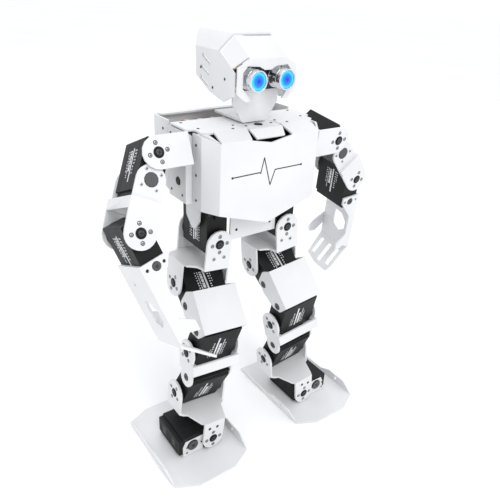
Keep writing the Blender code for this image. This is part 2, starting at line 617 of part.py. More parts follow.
def build_torso(col, white, black, board, power):
    root = (0, SHOULDER_Y, SHOULDER_Z)
    shape, low = chest_shell()
    at = frame((0, CHEST_Y + THIN / 2, low), (1, 0, 0), (0, 0, 1), (0, -1, 0))
    add(col, "chest_shell", shape, at, root, white)
    at = frame((0, BACK_Y, BACK_LOW), (1, 0, 0), (0, 0, 1), (0, -1, 0))
    add(col, "back_frame", back_frame(), at, root, white)
    at = frame((0, BULKHEAD_Y, SIDE_LOW), (1, 0, 0), (0, 0, 1), (0, -1, 0))
    add(col, "side_frame", side_frame(), at, root, white)
    at = frame((0, 0, NECK_MID_Z + HALF + GAP + THIN / 2), (1, 0, 0), (0, 1, 0), (0, 0, 1))
    add(col, "neck_mount", neck_mount(), at, root, white)
    world = frame((0, 0, 0), (1, 0, 0), (0, 1, 0), (0, 0, 1))
    add(col, "collar_plate", collar_plate(), world, root, white)
    at = frame((0, 0, 238.2), (1, 0, 0), (0, 1, 0), (0, 0, 1))
    add(col, "pelvis_bracket", pelvis_bracket(), at, root, white)
    for s in (-1, 1):
        side = "left" if s > 0 else "right"
        at = frame((s * SHOULDER_X, 0, 0), (0, 1, 0), (0, 0, 1), (s, 0, 0))
        shape = servo((SHOULDER_Y, SHOULDER_Z), (0, -1), 24.0, SHAFT_R)
        add(col, "shoulder_pitch_servo_" + side, shape, at, root, black)
        at = frame((s * HIP_X, HIP_Y, 0), (s, 0, 0), (0, 0, 1), (0, 1, 0))
        shape = servo((0, HIP_Z), (0, 1), 24.0, SHAFT_R)
        add(col, "hip_roll_servo_" + side, shape, at, root, black)
    at = frame((0, 0, NECK_MID_Z), (1, 0, 0), (0, 1, 0), (0, 0, 1))
    add(col, "neck_servo", servo((0, NECK_Y), (0, -1), 24.0, SHAFT_R), at, root, black)
    plate = [(-56.0, 17.5), (56.0, 17.5), (56.0, 38.0), (-56.0, 38.0)]
    add(col, "controller_board", slab(plate, [], 284.0, 285.6), world, root, board)
    pack = [(-36.0, 17.5), (36.0, 17.5), (36.0, 38.5), (-36.0, 38.5)]
    add(col, "battery_pack", slab(pack, [], 244.0, 270.0), world, root, power)


# ---------------------------------------------------------------- head
def neck_bracket():
    """Base on the neck horn with an upright that carries the sensor."""
    front = -14.0
    outer = [(-12.0, 27.0), (-12.0, front), (-22.0, front - 14.0), (-22.0, front - 44.0),
             (22.0, front - 44.0), (22.0, front - 14.0), (12.0, front), (12.0, 27.0)]
    folds = [((0, front), (-1, 0), 90.0, lambda u, v: v < front + 0.01)]
    return sheet(outer, [ring((0.0, NECK_Y))], folds, SHEET)


def head_shell():
    """Crown, two slopes and two side plates in one strip across the head."""
    rise = math.hypot(HEAD_HALF - CROWN_HALF, 12.0)
    c, e = CROWN_HALF, CROWN_HALF + rise
    turn = math.degrees(math.atan2(12.0, HEAD_HALF - CROWN_HALF))

    def down(z):
        return e + (HEAD_TOP - 12.0 - z)
    edge = [(c, 42.0), (c + rise * 0.5, 37.0), (e, 30.0), (down(334.0), 29.5), (down(324.0), 9.0),
            (down(319.5), -11.0), (down(326.0), -25.5), (down(342.6), -25.5), (e, -2.6), (c, -6.6)]
    outer = edge + [(-u, v) for u, v in edge[::-1]]
    slots = []
    for k in range(3):
        z = 352.0 - 8.5 * k
        y0, y1 = 20.0 + 1.5 * k, 8.5 + 1.5 * k
        slots += [[(s * down(z), y0), (s * down(z - 2.6), y0), (s * down(z - 8.0), y1), (s * down(z - 5.4), y1)]
                  for s in (1, -1)]
    folds = [((e, 0), (0, -1), -(90.0 - turn), lambda u, v: u > e - 0.01),
             ((c, 0), (0, -1), -turn, lambda u, v: u > c - 0.01),
             ((-e, 0), (0, 1), -(90.0 - turn), lambda u, v: u < -e + 0.01),
             ((-c, 0), (0, 1), -turn, lambda u, v: u < -c + 0.01)]
    return sheet(outer, slots, folds, THIN)


def face_plate():
    """Forehead with two folded cheeks, bent down into a mask round the eyes."""
    run = math.hypot(21.0, 14.0)
    c = CROWN_HALF
    z = 352.0
    mask = [(c, 0.0), (28.0, 346.0 - z), (28.0, 327.0 - z), (20.0, 321.0 - z), (15.0, 321.5 - z),
            (19.0, 327.0 - z), (23.0, 331.0 - z), (23.0, 342.5 - z), (19.0, 347.0 - z), (8.0, 346.3 - z),
            (3.0, 343.8 - z)]
    lower = mask + [(-u, v) for u, v in mask[::-1]]
    cheek = [(c, RELIEF), (c + 13.6, RELIEF), (c + 13.6, run - 5.6), (c, run - 1.4)]
    outer = lower[:-1] + [(-c, 0.0)] + [(-u, v) for u, v in cheek]
    outer += [(u, v) for u, v in cheek[::-1]]
    return outer, run, c


def face_shape():
    outer, run, c = face_plate()
    head = 90.0 - math.degrees(math.atan2(14.0, 21.0))
    folds = [((c, 0), (0, -1), -45.8, lambda u, v: u > c - 0.01 and v > 0.5),
             ((-c, 0), (0, 1), -45.8, lambda u, v: u < -c + 0.01 and v > 0.5),
             ((0, 0), (1, 0), -head, lambda u, v: v > -0.01)]
    return outer, folds


def build_head(col, white, black, board, metal):
    pivot = (0, NECK_Y, NECK_MID_Z + OUT)
    at = frame((0, 0, NECK_MID_Z + OUT - SHEET / 2), (1, 0, 0), (0, 1, 0), (0, 0, 1))
    add(col, "neck_bracket", neck_bracket(), at, pivot, white)
    at = frame((0, 0, HEAD_TOP - THIN / 2), (1, 0, 0), (0, 1, 0), (0, 0, 1))
    add(col, "head_shell", head_shell(), at, pivot, white)
    outer, folds = face_shape()
    at = frame((0, -29.0 + THIN / 2, 352.0), (1, 0, 0), (0, 0, 1), (0, -1, 0))
    add(col, "face_plate", sheet(outer, [], folds, THIN), at, pivot, white)
    pcb = [(-23.0, EYE_Z - 10.0), (23.0, EYE_Z - 10.0), (23.0, EYE_Z + 10.0), (-23.0, EYE_Z + 10.0)]
    at = frame((0, 0, 0), (1, 0, 0), (0, 0, 1), (0, 1, 0))
    add(col, "sensor_board", slab(pcb, [], -17.2, -15.6), at, pivot, board)
    for s in (-1, 1):
        side = "left" if s > 0 else "right"
        eye = (s * EYE_X, EYE_Z)
        wall, mouth = circle(eye, EYE_R, 24), circle(eye, EYE_R - 1.2, 24)
        shape = stack([(-35.0, -17.5, wall, []), (-36.5, -34.0, wall, [mouth])])
        add(col, "eye_can_" + side, shape, at, pivot, metal)


# ---------------------------------------------------------------- the whole kit
clear_scene()
kit = collection(KIT)
cutters = collection("cutters")
white_mat = material("white_powder_coat", WHITE, 0.0, 0.4)
black_mat = material("black_servo_plastic", BLACK, 0.0, 0.45)
board_mat = material("circuit_board", (0.02, 0.03, 0.035), 0.0, 0.5)
power_mat = material("battery_wrap", (0.03, 0.05, 0.16), 0.0, 0.4)
metal_mat = material("bright_can", (0.7, 0.72, 0.74), 1.0, 0.2)
build_torso(kit, white_mat, black_mat, board_mat, power_mat)
build_head(kit, white_mat, black_mat, board_mat, metal_mat)
for sign in (-1, 1):
    build_arm(kit, sign, white_mat, black_mat)
    build_leg(kit, sign, white_mat, black_mat)
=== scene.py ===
"""Looks of the humanoid robot kit: coats, servo fittings, screws, labels, eyes, wiring and studio.

Lengths are millimetres in the model's own frame (it faces -Y, its left side is +X, +Z is up), and
MM turns them into metres. Places come from the frame's boxes and joints.
"""
import json
import math

import bmesh
import bpy
from mathutils import Matrix, Vector


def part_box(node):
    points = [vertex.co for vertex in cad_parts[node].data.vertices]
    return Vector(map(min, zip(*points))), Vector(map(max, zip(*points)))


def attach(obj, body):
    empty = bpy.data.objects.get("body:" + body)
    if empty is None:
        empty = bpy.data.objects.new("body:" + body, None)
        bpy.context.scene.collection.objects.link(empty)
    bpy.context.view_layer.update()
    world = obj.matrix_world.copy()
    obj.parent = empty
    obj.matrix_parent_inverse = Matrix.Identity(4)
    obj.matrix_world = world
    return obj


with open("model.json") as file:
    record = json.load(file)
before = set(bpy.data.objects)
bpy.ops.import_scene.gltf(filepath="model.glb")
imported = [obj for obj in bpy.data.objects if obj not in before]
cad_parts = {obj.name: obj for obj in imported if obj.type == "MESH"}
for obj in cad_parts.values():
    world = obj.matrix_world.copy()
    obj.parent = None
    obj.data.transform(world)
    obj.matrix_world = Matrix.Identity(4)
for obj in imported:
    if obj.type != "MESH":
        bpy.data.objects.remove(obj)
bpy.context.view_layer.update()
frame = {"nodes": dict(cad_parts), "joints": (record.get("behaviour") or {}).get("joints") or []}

MM = 0.001
LEAN = math.radians(6.0)         # each leg leans outward by this
CASE, WIDE = 40.0, 20.0          # servo case: length and depth, width
HALF = CASE / 2
AXIS_IN = 10.0                   # shaft to the near end of the case
FLANGE_IN, FLANGE_OUT = 23.0, 25.0   # a horn flange, from the middle of its servo
FIX_OUT = 22.3                   # outer face of a fixed flange
HORN_R, HORN_SCREWS = 10.0, 7.3  # horn disc and the circle its screws lie on
PIN_TIP = FLANGE_OUT + 0.6       # end of the shaft
FIX_TIP = FIX_OUT + 0.1          # end of a fixing boss
BOSS_R = 3.3                     # cap of a plain fixing boss
HIP_CASE, KNEE_CASE, ANKLE_CASE = 52.0, -17.5, -26.7   # tilt of each servo in a leg, from straight down
HIP_FIX, KNEE_FIX, ELBOW_FIX = 24.0, 27.0, 27.0        # from a servo's shaft to its fixing boss
ANKLE_FIX = math.hypot(27.3 - 14.0, 74.6 - 48.3)
ROLL_FIX = 20.4
ELBOW_BEND = {"right": 42.0, "left": 36.0}             # of the forearm, inward from the upper arm

JOINTS = {j["name"]: j for j in frame["joints"]}


# ---------------------------------------------------------------- materials
def shader(name):
    mat = bpy.data.materials.new(name)
    mat.use_nodes = True
    return mat, mat.node_tree.nodes, mat.node_tree.links, mat.node_tree.nodes["Principled BSDF"]


def noise(nodes, links, scale, detail=4.0, stretch=(1.0, 1.0, 1.0)):
    coords = nodes.new("ShaderNodeTexCoord")
    mapping = nodes.new("ShaderNodeMapping")
    mapping.inputs["Scale"].default_value = stretch
    tex = nodes.new("ShaderNodeTexNoise")
    tex.inputs["Scale"].default_value = scale
    tex.inputs["Detail"].default_value = detail
    links.new(coords.outputs["Object"], mapping.inputs["Vector"])
    links.new(mapping.outputs["Vector"], tex.inputs["Vector"])
    return tex


def surface(name, low, high, rough, grain, bump, metallic=0.0, coat=0.0, cloud=18.0,
            stretch=(1, 1, 1), shine=0.5):
    """A finish that drifts between two colours, with fine grain in its gloss and its relief.

    cloud is the scale of the drift and grain that of the fine noise; rough is a range.
    """
    mat, nodes, links, bsdf = shader(name)
    drift = noise(nodes, links, cloud, 3.0)
    ramp = nodes.new("ShaderNodeValToRGB")
    ramp.color_ramp.elements[0].position = 0.3
    ramp.color_ramp.elements[0].color = (*low, 1.0)
    ramp.color_ramp.elements[1].position = 0.7
    ramp.color_ramp.elements[1].color = (*high, 1.0)
    links.new(drift.outputs["Fac"], ramp.inputs["Fac"])
    links.new(ramp.outputs["Color"], bsdf.inputs["Base Color"])
    fine = noise(nodes, links, grain, 5.0, stretch)
    gloss = nodes.new("ShaderNodeMapRange")
    gloss.inputs["To Min"].default_value = rough[0]
    gloss.inputs["To Max"].default_value = rough[1]
    links.new(fine.outputs["Fac"], gloss.inputs["Value"])
    links.new(gloss.outputs["Result"], bsdf.inputs["Roughness"])
    relief = nodes.new("ShaderNodeBump")
    relief.inputs["Strength"].default_value = bump
    relief.inputs["Distance"].default_value = 0.0001
    links.new(fine.outputs["Fac"], relief.inputs["Height"])
    links.new(relief.outputs["Normal"], bsdf.inputs["Normal"])
    bsdf.inputs["Metallic"].default_value = metallic
    bsdf.inputs["Coat Weight"].default_value = coat
    bsdf.inputs["Specular IOR Level"].default_value = shine
    return mat


LENS_R = 6.8


def lens_painted_glow():
    """Lens with a painted glow, though it is no lamp: deep blue in the middle, and a painted cyan
    highlight towards the rim.
    """
    mat, nodes, links, bsdf = shader("lens_painted_glow")
    coords = nodes.new("ShaderNodeTexCoord")
    sphere = nodes.new("ShaderNodeTexGradient")
    sphere.gradient_type = "SPHERICAL"
    spread = nodes.new("ShaderNodeMapping")
    spread.inputs["Scale"].default_value = (1 / (LENS_R * MM),) * 3
    links.new(coords.outputs["Object"], spread.inputs["Vector"])
    links.new(spread.outputs["Vector"], sphere.inputs["Vector"])
    ramp = nodes.new("ShaderNodeValToRGB")
    # painted highlight: cyan at the rim of the lens
    ramp.color_ramp.elements[0].position = 0.02
    ramp.color_ramp.elements[0].color = (0.04, 0.55, 1.0, 1.0)
    ramp.color_ramp.elements[1].position = 0.85
    ramp.color_ramp.elements[1].color = (0.0, 0.02, 0.3, 1.0)
    middle = ramp.color_ramp.elements.new(0.38)
    middle.color = (0.0, 0.16, 0.8, 1.0)
    links.new(sphere.outputs["Color"], ramp.inputs["Fac"])
    links.new(ramp.outputs["Color"], bsdf.inputs["Base Color"])
    links.new(ramp.outputs["Color"], bsdf.inputs["Emission Color"])
    # painted glow: the lens gives off light though it is no lamp
    bsdf.inputs["Emission Strength"].default_value = 0.75
    bsdf.inputs["Roughness"].default_value = 0.12
    return mat


def board_finish():
    """Dark solder mask with fine copper tracks showing through."""
    mat, nodes, links, bsdf = shader("solder_mask")
    coords = nodes.new("ShaderNodeTexCoord")
    tracks = nodes.new("ShaderNodeTexBrick")
    tracks.inputs["Scale"].default_value = 260.0
    tracks.inputs["Mortar Size"].default_value = 0.04
    tracks.inputs["Color1"].default_value = (0.008, 0.013, 0.016, 1.0)
    tracks.inputs["Color2"].default_value = (0.012, 0.02, 0.024, 1.0)
    tracks.inputs["Mortar"].default_value = (0.03, 0.055, 0.06, 1.0)
    links.new(coords.outputs["Object"], tracks.inputs["Vector"])
    links.new(tracks.outputs["Color"], bsdf.inputs["Base Color"])
    relief = nodes.new("ShaderNodeBump")
    relief.inputs["Strength"].default_value = 0.3
    relief.inputs["Distance"].default_value = 0.0001
    links.new(tracks.outputs["Fac"], relief.inputs["Height"])
    links.new(relief.outputs["Normal"], bsdf.inputs["Normal"])
    bsdf.inputs["Roughness"].default_value = 0.32
    return mat


COAT = surface("white_powder_coat", (0.665, 0.67, 0.675), (0.725, 0.73, 0.735), (0.3, 0.46), 1900.0, 0.16,
               coat=0.12)
NYLON = surface("black_nylon", (0.005, 0.005, 0.0055), (0.011, 0.011, 0.012), (0.4, 0.6), 1500.0, 0.35,
                shine=0.22)
HORN = surface("black_horn", (0.006, 0.006, 0.007), (0.013, 0.013, 0.014), (0.3, 0.45), 900.0, 0.2,
               shine=0.3)
PRINT = surface("white_print", (0.62, 0.63, 0.64), (0.78, 0.79, 0.8), (0.45, 0.6), 2500.0, 0.1,
                cloud=160.0)
STEEL = surface("zinc_screw", (0.36, 0.36, 0.37), (0.5, 0.5, 0.51), (0.25, 0.45), 1200.0, 0.25,
                metallic=1.0)
DARK_STEEL = surface("dark_screw", (0.05, 0.05, 0.053), (0.1, 0.1, 0.105), (0.3, 0.5), 1200.0, 0.25,
                     metallic=0.8)
BOSS = surface("grey_boss", (0.045, 0.045, 0.048), (0.075, 0.075, 0.08), (0.4, 0.55), 1100.0, 0.3)
# hole_shade is painted shade: dark discs and crosses stand for the shaded insides of holes and screw
# recesses, which are not cut; it also colours the seams on the servo cases
SHADE = surface("hole_shade", (0.004, 0.004, 0.004), (0.012, 0.012, 0.012), (0.7, 0.9), 900.0, 0.1)
CAN = surface("bright_can", (0.62, 0.63, 0.65), (0.8, 0.81, 0.83), (0.08, 0.22), 2600.0, 0.2,
              metallic=1.0, stretch=(1.0, 0.06, 1.0))
WRAP = surface("battery_wrap", (0.02, 0.035, 0.12), (0.035, 0.06, 0.2), (0.18, 0.3), 300.0, 0.35,
               coat=0.3)
CHIP = surface("chip_black", (0.012, 0.012, 0.013), (0.03, 0.03, 0.032), (0.4, 0.6), 1800.0, 0.2)
IVORY = surface("ivory_plug", (0.62, 0.59, 0.5), (0.74, 0.71, 0.62), (0.35, 0.5), 1300.0, 0.15)
BRASS = surface("gold_pin", (0.5, 0.34, 0.1), (0.68, 0.47, 0.16), (0.2, 0.35), 1200.0, 0.2, metallic=1.0)
ORANGE = surface("orange_wire", (0.42, 0.12, 0.03), (0.56, 0.18, 0.05), (0.3, 0.45), 1500.0, 0.15)
BROWN = surface("brown_wire", (0.07, 0.03, 0.016), (0.12, 0.055, 0.03), (0.3, 0.45), 1500.0, 0.15)
PALE_WIRE = surface("white_wire", (0.6, 0.6, 0.59), (0.75, 0.75, 0.73), (0.3, 0.45), 1500.0, 0.15)
MASK = board_finish()
# lens material with painted glow and a painted cyan rim highlight
PAINTED_GLOW_LENS = lens_painted_glow()


# ---------------------------------------------------------------- building tools
def turned(origin, normal, toward):
    """Frame at origin (mm) with its Z along normal and its X as near to toward as it can be."""
    z = Vector(normal).normalized()
    x = Vector(toward)
    x = (x - z * x.dot(z)).normalized()
    m = Matrix((x, z.cross(x), z)).transposed().to_4x4()
    m.translation = Vector(origin)
    return m


def disc(bm, at, r, low, high, top=None, seg=24, where=(0.0, 0.0)):
    place = at @ Matrix.Translation((where[0], where[1], (low + high) / 2))
    bmesh.ops.create_cone(bm, cap_ends=True, segments=seg, radius1=r, radius2=r if top is None else top,
                          depth=high - low, matrix=place)


def block(bm, at, low, high):
    size = [h - a for a, h in zip(low, high)]
    middle = [(h + a) / 2 for a, h in zip(low, high)]
    place = at @ Matrix.Translation(middle) @ Matrix.Diagonal((*size, 1.0))
    bmesh.ops.create_cube(bm, size=1.0, matrix=place)


def piece(name, bm, mat, body, bevel=0.0, smooth=35.0, centre=None):
    """The gathered shapes as one object that rides on body, its origin at centre."""
    shift = Vector(centre) if centre is not None else Vector()
    bmesh.ops.transform(bm, matrix=Matrix.Scale(MM, 4) @ Matrix.Translation(-shift), verts=bm.verts)
    mesh = bpy.data.meshes.new(name)
    bm.to_mesh(mesh)
    bm.free()
    mesh.materials.append(mat)
    mesh.shade_smooth()
    mesh.set_sharp_from_angle(angle=math.radians(smooth))
    obj = bpy.data.objects.new(name, mesh)
    obj.location = shift * MM
    bpy.context.scene.collection.objects.link(obj)
    if bevel:
        edge = obj.modifiers.new("edge", "BEVEL")
        edge.width = bevel * MM
        edge.segments = 2
        edge.limit_method = "ANGLE"
        edge.angle_limit = math.radians(40)
    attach(obj, body)
    return obj


def screws(name, places, body, mat=None, r=1.35, high=0.55):
    """Pan heads, each with a cross recess in painted shade, at frames whose Z points out of the surface.
    """
    heads, marks = bmesh.new(), bmesh.new()
    for at in places:
        disc(heads, at, r, -0.05, high * 0.45, seg=20)
        disc(heads, at, r, high * 0.45, high, top=r * 0.62, seg=20)
        for across in (False, True):
            a, b = (0.72 * r, 0.14 * r) if across else (0.14 * r, 0.72 * r)
            block(marks, at, (-a, -b, high - 0.02), (a, b, high + 0.03))
    piece(name, heads, mat or STEEL, body)
    piece(name + "_recess", marks, SHADE, body)


def holes(name, places, body, r=1.1):
    """Dark insets of painted shade where a small hole goes through the sheet."""
    bm = bmesh.new()
    for at in places:
        disc(bm, at, r, -0.02, 0.05, seg=16)
    piece(name, bm, SHADE, body)


def tube(name, points, r, mat, body):
    """A wire through the points, smooth and round."""
    curve = bpy.data.curves.new(name, "CURVE")
    curve.dimensions = "3D"
    curve.bevel_depth = r * MM
    curve.bevel_resolution = 3
    curve.use_fill_caps = True
    spline = curve.splines.new("NURBS")
    spline.points.add(len(points) - 1)
    for point, p in zip(spline.points, points):
        point.co = (p[0] * MM, p[1] * MM, p[2] * MM, 1.0)
    spline.use_endpoint_u = True
    spline.order_u = 3
    curve.materials.append(mat)
    obj = bpy.data.objects.new(name, curve)
    bpy.context.scene.collection.objects.link(obj)
    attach(obj, body)


# ---------------------------------------------------------------- what the frame says
def joint(name):
    """Position (mm) and axis of a joint."""
    j = JOINTS[name]
    return Vector(j["pos_m"]) / MM, Vector(j["axis"]).normalized()


def facing(origin, normal, offsets):
    """Frames on an upright face that looks along Y, at (x, z) offsets from a point on it."""
    return [turned(origin + Vector((x, 0.0, z)), normal, (1, 0, 0)) for x, z in offsets]


def flank(x, s, offsets):
    """Frames on a side face at x, at (y, z) offsets; s is -1 on the right and 1 on the left."""
    return [turned(Vector((x, MID_Y + y, z)), (s, 0, 0), (0, 0, 1)) for y, z in offsets]


def node_box(name):
    low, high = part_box(name)
    return Vector(low) / MM, Vector(high) / MM


HUB_X = {s: joint("hip_roll_" + n)[0].x for s, n in ((-1, "right"), (1, "left"))}
MID_X = (HUB_X[-1] + HUB_X[1]) / 2
MID_Y = joint("neck_pan")[0].y - 4.0      # the neck shaft is 4 mm behind the shoulder line's zero


def at(x, y, z):
    """A point given from the middle of the torso."""
    return Vector((MID_X + x, MID_Y + y, z))


# ---------------------------------------------------------------- finishes of the CAD nodes
def coat_of(node):
    if "servo" in node:
        return NYLON
    if node.endswith("board"):
        return MASK
    if node == "battery_pack":
        return WRAP
    return CAN if node.startswith("eye_can") else COAT


def finish_nodes():
    """Each node gets its finish and softly broken edges."""
    for node, obj in frame["nodes"].items():
        obj.data.materials.clear()
        obj.data.materials.append(coat_of(node))
        weld = obj.modifiers.new("weld", "WELD")
        weld.merge_threshold = 0.00001
        edge = obj.modifiers.new("edge", "BEVEL")
        edge.width = (0.35 if "servo" in node else 0.22) * MM
        edge.segments = 2
        edge.limit_method = "ANGLE"
        edge.angle_limit = math.radians(28)
        edge.harden_normals = True


# ---------------------------------------------------------------- servos
def label(name, face, body):
    """Printed panel: one long stripe and rows of short strokes each side. X runs along the case."""
    bm = bmesh.new()
    block(bm, face, (-13.0, 0.6, 0.0), (13.0, 2.3, 0.08))
    rows = ((-3.2, 2.5, 9, 1.9), (-5.4, 1.1, 12, 1.3), (-7.6, 0.9, 7, 1.5), (4.6, 1.5, 8, 1.2),
            (7.2, 0.9, 5, 1.4))
    for k, (v, tall, count, long_) in enumerate(rows):
        for i in range(count):
            u = -11.5 + i * (22.0 / 12) * (1.35 if count < 9 else 1.0)
            stroke = long_ * (0.6 + 0.4 * ((i * 7 + k * 3) % 5) / 4)
            block(bm, face, (u, v, 0.0), (u + stroke, v + tall, 0.07))
    piece(name, bm, PRINT, body)


def case_details(name, centre, axis, tail, body, labels=(1, -1)):
    """Seams, corner screws, a connector and labels on the case of a servo.

    centre is the middle of its shaft, axis runs along the shaft and tail along the case.
    """
    wide = axis.cross(tail)
    seams, plugs, pins = bmesh.new(), bmesh.new(), bmesh.new()
    base = turned(centre, axis, tail)
    near, far = -AXIS_IN, CASE - AXIS_IN
    for depth in (-11.5, 9.5):
        for s in (-1, 1):
            block(seams, base, (near + 1.2, s * (WIDE / 2) - 0.06, depth - 0.22),
                  (far - 0.6, s * (WIDE / 2) + 0.06, depth + 0.22))
        block(seams, base, (near - 0.06, -WIDE / 2 + 1.2, depth - 0.22),
              (near + 0.06, WIDE / 2 - 1.2, depth + 0.22))
    for depth in (-9.0, 9.0):
        block(plugs, base, (far + 3.6, -4.4, depth - 3.6), (far + 4.15, 4.4, depth + 3.6))
        for k in (-1, 0, 1):
            block(pins, base, (far + 4.1, 2.5 * k - 0.32, depth - 0.32),
                  (far + 4.35, 2.5 * k + 0.32, depth + 0.32))
    piece("seam_" + name, seams, SHADE, body)
    piece("socket_" + name, plugs, CHIP, body, bevel=0.1)
    piece("pins_" + name, pins, BRASS, body)
    corner = []
    for s in (-1, 1):
        face = turned(centre + axis * (s * HALF), axis * s, tail)
        for u in (near + 2.6, far - 3.0):
            for v in (-WIDE / 2 + 2.4, WIDE / 2 - 2.4):
                corner.append(face @ Matrix.Translation((u, v, 0.0)))
    screws("corner_screws_" + name, corner, body, DARK_STEEL, 1.15, 0.25)
    middle = centre + tail * (CASE / 2 - AXIS_IN)
    for s in labels:
        side = turned(middle + wide * (s * WIDE / 2), wide * s, tail)
        label("label_%s_%s" % (name, "a" if s > 0 else "b"), side, body)


def horn(name, centre, axis, body, sides=(1, -1), turn=20.0):
    """Horn disc behind a flange, its four screws outside it and a screw in the shaft's end."""
    disc_shape, rims = bmesh.new(), bmesh.new()
    spots, middle = [], []
    for s in sides:
        out = turned(centre, axis * s, (0.31, 0.52, 0.8))
        disc(disc_shape, out, HORN_R, HALF + 0.15, HALF + 2.1, seg=40)
        disc(disc_shape, out, HORN_R - 1.6, HALF + 2.1, FLANGE_IN - 0.15, seg=40)
        disc(rims, out, 4.3, FLANGE_OUT + 0.02, FLANGE_OUT + 0.12, seg=28)
        for k in range(4):
            a = math.radians(turn + 90.0 * k)
            where = (HORN_SCREWS * math.cos(a), HORN_SCREWS * math.sin(a))
            spots.append(out @ Matrix.Translation((where[0], where[1], FLANGE_OUT)))
            disc(rims, out, 1.75, FLANGE_OUT + 0.01, FLANGE_OUT + 0.05, seg=18, where=where)
        middle.append(out @ Matrix.Translation((0.0, 0.0, PIN_TIP)))
    piece("horn_" + name, disc_shape, HORN, body, bevel=0.2)
    piece("horn_rim_" + name, rims, HORN, body)
    screws("horn_screws_" + name, spots, body, STEEL, 1.25, 0.5)
    screws("shaft_screw_" + name, middle, body, DARK_STEEL, 2.3, 0.4)


def boss_cap(name, centre, axis, body, r, sides=(1, -1), ring=None):
    """Cap on a fixing boss, with a ring of screws where the flange round it is wide enough."""
    bm, spots = bmesh.new(), []
    for s in sides:
        out = turned(centre, axis * s, (0.2, 0.6, 0.77))
        disc(bm, out, r, FIX_TIP - 0.1, FIX_TIP + 0.35, top=r - 0.3, seg=32)
        if ring:
            for k in range(4):
                a = math.radians(25.0 + 90.0 * k)
                spots.append(out @ Matrix.Translation((ring * math.cos(a), ring * math.sin(a), FIX_OUT)))
    piece("boss_" + name, bm, BOSS, body)
    if spots:
        screws("boss_screws_" + name, spots, body, STEEL, 1.25, 0.5)
    else:
        spots = [turned(centre + axis * (s * (FIX_TIP + 0.3)), axis * s, (0.2, 0.6, 0.77)) for s in sides]
        screws("boss_screw_" + name, spots, body, DARK_STEEL, 1.9, 0.35)


# ---------------------------------------------------------------- legs
def leg_axes(s):
    """Outward, upward and downward-at-an-angle directions of a leg's own plane."""
    out = Vector((s * math.cos(LEAN), 0.0, math.sin(LEAN)))
    up = Vector((-s * math.sin(LEAN), 0.0, math.cos(LEAN)))

    def down(deg):
        a = math.radians(deg)
        return Vector((0.0, -math.sin(a), 0.0)) - up * math.cos(a)
    return out, up, down


def dress_leg(s, side):
    out, up, down = leg_axes(s)
    thigh, shin, foot = "thigh_" + side, "shin_" + side, "foot_" + side
    hip_roll, hip_pitch = joint("hip_roll_" + side)[0], joint("hip_pitch_" + side)[0]
    knee, ankle = joint("knee_" + side)[0], joint("ankle_pitch_" + side)[0]
    roll = joint("ankle_roll_" + side)[0]
    front = Vector((0.0, -1.0, 0.0))

    case_details("hip_roll_" + side, hip_roll, front, Vector((0, 0, 1)), "torso")
    case_details("hip_pitch_" + side, hip_pitch, out, down(HIP_CASE), thigh)
    case_details("knee_" + side, knee, out, -down(KNEE_CASE), thigh)
    case_details("ankle_pitch_" + side, ankle, out, -down(ANKLE_CASE), shin)
    case_details("ankle_roll_" + side, roll, front, Vector((s, 0, 0)), foot, labels=())
    horn("hip_roll_" + side, hip_roll, front, "hip_" + side)
    horn("hip_pitch_" + side, hip_pitch, out, "hip_" + side, turn=35.0)
    horn("knee_" + side, knee, out, shin, turn=10.0)
    horn("ankle_pitch_" + side, ankle, out, "ankle_" + side, turn=30.0)
    horn("ankle_roll_" + side, roll, front, "ankle_" + side)
    boss_cap("hip_pitch_" + side, hip_pitch + down(HIP_CASE) * HIP_FIX, out, thigh, BOSS_R)
    boss_cap("knee_" + side, knee - down(KNEE_CASE) * KNEE_FIX, out, thigh, BOSS_R)
    boss_cap("ankle_pitch_" + side, ankle - down(ANKLE_CASE) * ANKLE_FIX, out, shin, BOSS_R)
    boss_cap("ankle_roll_" + side, roll + Vector((s, 0, 0)) * ROLL_FIX, front, foot, 5.2)

    face = hip_roll + front * FLANGE_OUT
    spots = facing(face, front, ((-5.8, -12.6), (4.4, -12.9)))
    screws("hip_web_screws_" + side, spots, "hip_" + side, STEEL, 1.7, 0.5)
    face = roll + front * FLANGE_OUT
    spots = facing(face, front, ((-4.0, 13.6), (4.4, 12.6)))
    holes("ankle_holes_" + side, spots, "ankle_" + side, 1.5)
    lip = face + Vector((0.0, 1.7, 0.0))
    spots = facing(lip, front, ((s * 12.2, 1.0), (s * 27.5, -5.0), (s * 27.5, 1.5)))
    holes("tray_holes_" + side, spots, foot, 1.0)

    ridge = bmesh.new()
    low, high = node_box("ankle_roll_servo_" + side)
    x0 = high.x if s > 0 else low.x
    for k in range(4):
        z = 5.2 + 3.6 * k
        block(ridge, Matrix.Translation((x0, roll.y, z)), (-0.1, -17.0 + k, -0.5), (0.1, 17.0 - k, 0.5))
    piece("foot_servo_ribs_" + side, ridge, NYLON, foot, bevel=0.15)


# ---------------------------------------------------------------- arms
def dress_arm(s, side):
    shoulder = joint("shoulder_pitch_" + side)[0]
    pivot, roll_axis = joint("shoulder_roll_" + side)
    elbow = joint("elbow_" + side)[0]
    lateral = Vector((s, 0, 0))
    front = roll_axis * (1.0 if roll_axis.y < 0 else -1.0)
    upper, lower = "upper_arm_" + side, "forearm_" + side
    hub = shoulder - lateral * FLANGE_OUT
    along = (elbow - pivot).normalized()
    bend = math.radians(ELBOW_BEND[side])
    forearm = Matrix.Rotation(-s * bend, 3, front) @ along

    case_details("shoulder_pitch_" + side, hub, lateral, Vector((0, 0, -1)), "torso", labels=())
    case_details("shoulder_roll_" + side, pivot, front, along, upper)
    case_details("elbow_" + side, elbow, front, forearm, lower)
    horn("shoulder_pitch_" + side, hub, lateral, "shoulder_" + side, sides=(1,))
    horn("shoulder_roll_" + side, pivot, front, "shoulder_" + side, sides=(1,), turn=28.0)
    horn("elbow_" + side, elbow, front, upper, turn=15.0)
    boss_cap("shoulder_roll_" + side, pivot + along * ROLL_FIX, front, upper, 5.3, ring=8.6)
    boss_cap("elbow_" + side, elbow + forearm * ELBOW_FIX, front, lower, BOSS_R)


